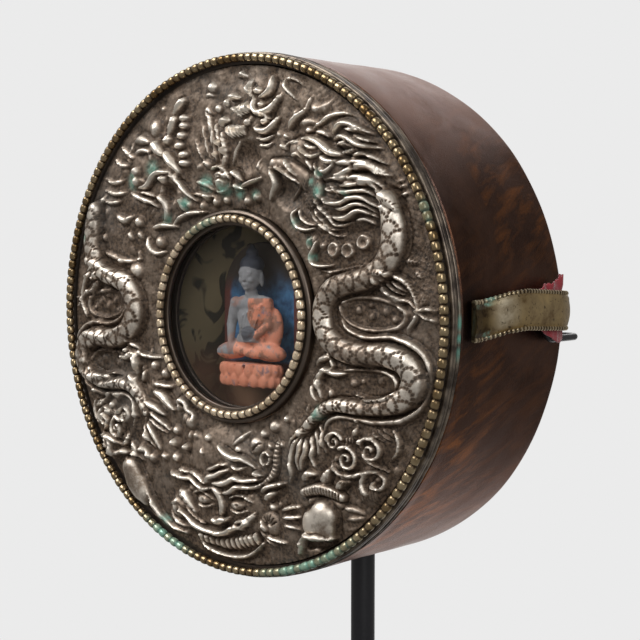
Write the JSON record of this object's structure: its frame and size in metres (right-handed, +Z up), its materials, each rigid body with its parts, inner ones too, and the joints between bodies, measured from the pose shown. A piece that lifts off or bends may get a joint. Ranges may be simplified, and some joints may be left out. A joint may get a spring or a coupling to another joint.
{
  "type": "round amulet box on a display stand",
  "caption": "Round copper amulet box with an embossed front, a round window onto a seated figure, and side strap loops, hung on a black post stand.",
  "frame": {"origin": "centre of the base plate's underside", "axes": "+Z up, -Y the way the embossed front faces, +X to the right of someone looking at the front"},
  "size_m": [0.136, 0.09, 0.1823],
  "materials": {
    "embossed_silver": "worn silver-coloured repousse sheet, dark patina in the recesses",
    "beaded_brass": "worn beaded wire with dark gaps",
    "dark_rim": "tarnished, near black with worn edges",
    "window_collar": "smooth tarnished silver sheet",
    "window_glass": "clear, slightly dull",
    "copper": "dark brown copper patina, semi-gloss, orange-brown streaks",
    "loop_brass": "aged brass, rubbed bright on the crown",
    "printed_paper": null,
    "painted_aureole": "matt blue paint with a red edge, on clay",
    "painted_clay": "matt grey clay, worn paint",
    "painted_lotus": "matt orange-pink paint on clay",
    "red_cloth": "matt crimson cotton",
    "black_paint": "satin black",
    "zinc_steel": "plain zinc"
  },
  "bodies": {
    "stand": {"mount_base": "black_paint", "mount_post": "black_paint", "mount_arm_right": "black_paint", "mount_arm_left": "black_paint", "post_screw": "zinc_steel"},
    "case": {"case_wall": "copper", "case_back": "copper", "strap_loop_right": "loop_brass", "strap_loop_left": "loop_brass", "loop_edge_wire_right_upper": "loop_brass", "loop_edge_wire_right_lower": "loop_brass", "loop_edge_wire_left_upper": "loop_brass", "loop_edge_wire_left_lower": "loop_brass", "shrine_backing": "printed_paper", "aureole": "painted_aureole", "figure": "painted_clay", "lotus_base": "painted_lotus", "red_cloth_right": "red_cloth"},
    "cover": {"front_plate": "embossed_silver", "outer_beaded_wire": "beaded_brass", "cover_skirt": "dark_rim", "skirt_edge_wire": "dark_rim", "cover_sleeve": "dark_rim", "window_collar": "window_collar", "window_beaded_wire": "beaded_brass", "window_glass": "window_glass", "glass_retaining_ring": "dark_rim"}
  },
  "joints": [
    {"name": "lift_off", "type": "slide", "parent": "stand", "child": "case", "axis": [0, 0, 1], "range_m": [0, 0.03]},
    {"name": "cover_pull", "type": "slide", "parent": "case", "child": "cover", "axis": [0, -1, 0], "range_m": [0, 0.025]}
  ]
}
